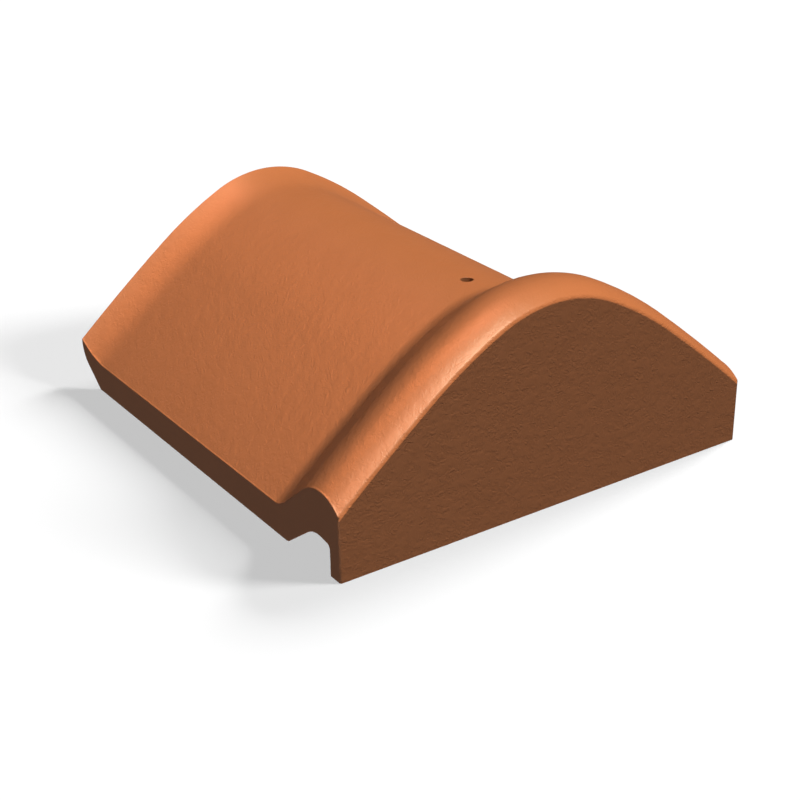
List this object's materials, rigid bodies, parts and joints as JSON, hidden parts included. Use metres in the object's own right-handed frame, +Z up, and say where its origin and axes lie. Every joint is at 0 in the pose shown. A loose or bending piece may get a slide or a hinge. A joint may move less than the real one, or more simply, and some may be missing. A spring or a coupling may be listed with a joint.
{
  "type": "ridge tile",
  "caption": "Closed-end roof ridge tile: an arched shell with a flat end wall under a thick roll, a flared lip at the open end and a nail hole in the crown.",
  "frame": {"origin": "on the ground the tile stands on, under the middle of its overall box", "axes": "+Z up, Y along the ridge with the closed end at -Y and the flared open end at +Y, X across"},
  "size_m": [0.25, 0.278, 0.1163],
  "materials": {
    "terracotta": "unglazed, finely grained, soft sheen"
  },
  "bodies": {
    "root": {"ridge_tile": "terracotta"}
  },
  "joints": []
}
